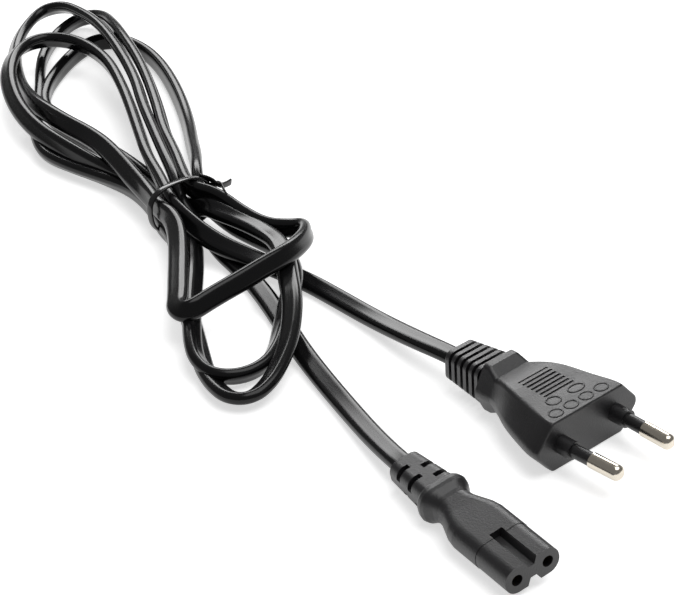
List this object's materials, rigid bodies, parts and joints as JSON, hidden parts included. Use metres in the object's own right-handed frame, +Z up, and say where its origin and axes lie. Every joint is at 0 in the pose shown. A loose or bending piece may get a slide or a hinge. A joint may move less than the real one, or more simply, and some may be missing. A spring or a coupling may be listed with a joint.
{
  "type": "power cord",
  "caption": "Black mains power cord with a flat moulded plug, a two-hole appliance connector and a flat two-core lead tied in a loose hank",
  "frame": {"origin": "centre of the plug's engagement face, midway between its two pins", "axes": "+X out of the plug along its pins, +Z up from the level surface that the cord lies on, +Y to the plug's left seen from behind it"},
  "size_m": [0.3224, 0.1216, 0.0138],
  "materials": {
    "black_moulding": "semi-matt black moulded PVC with a fine texture",
    "bridge_plastic": "natural glass-filled plastic",
    "nickel_pin": "nickel-plated brass",
    "sleeve_plastic": "black insulating sleeve, smooth",
    "contact_brass": "rolled brass strip",
    "brown_core": "brown core insulation",
    "blue_core": "blue core insulation",
    "copper": "bare stranded copper",
    "cord_sheath": "smooth black PVC sheath with a soft gloss",
    "tie_ribbon": "glossy black plastic ribbon over a wire"
  },
  "bodies": {
    "root": {"plug_body": "black_moulding", "pin_bridge": "bridge_plastic", "plug_pin_left": "nickel_pin", "plug_pin_right": "nickel_pin", "pin_sleeve_left": "sleeve_plastic", "pin_sleeve_right": "sleeve_plastic", "plug_core_brown": "brown_core", "plug_core_blue": "blue_core", "plug_strands_left": "copper", "plug_strands_right": "copper", "connector_body": "black_moulding", "contact_carrier": "bridge_plastic", "contact_left": "contact_brass", "contact_right": "contact_brass", "connector_core_brown": "brown_core", "connector_core_blue": "blue_core", "connector_strands_left": "copper", "connector_strands_right": "copper", "cord_plug_lead": "cord_sheath", "cord_connector_lead": "cord_sheath", "cord_hank": "cord_sheath", "twist_tie": "tie_ribbon"}
  },
  "joints": []
}
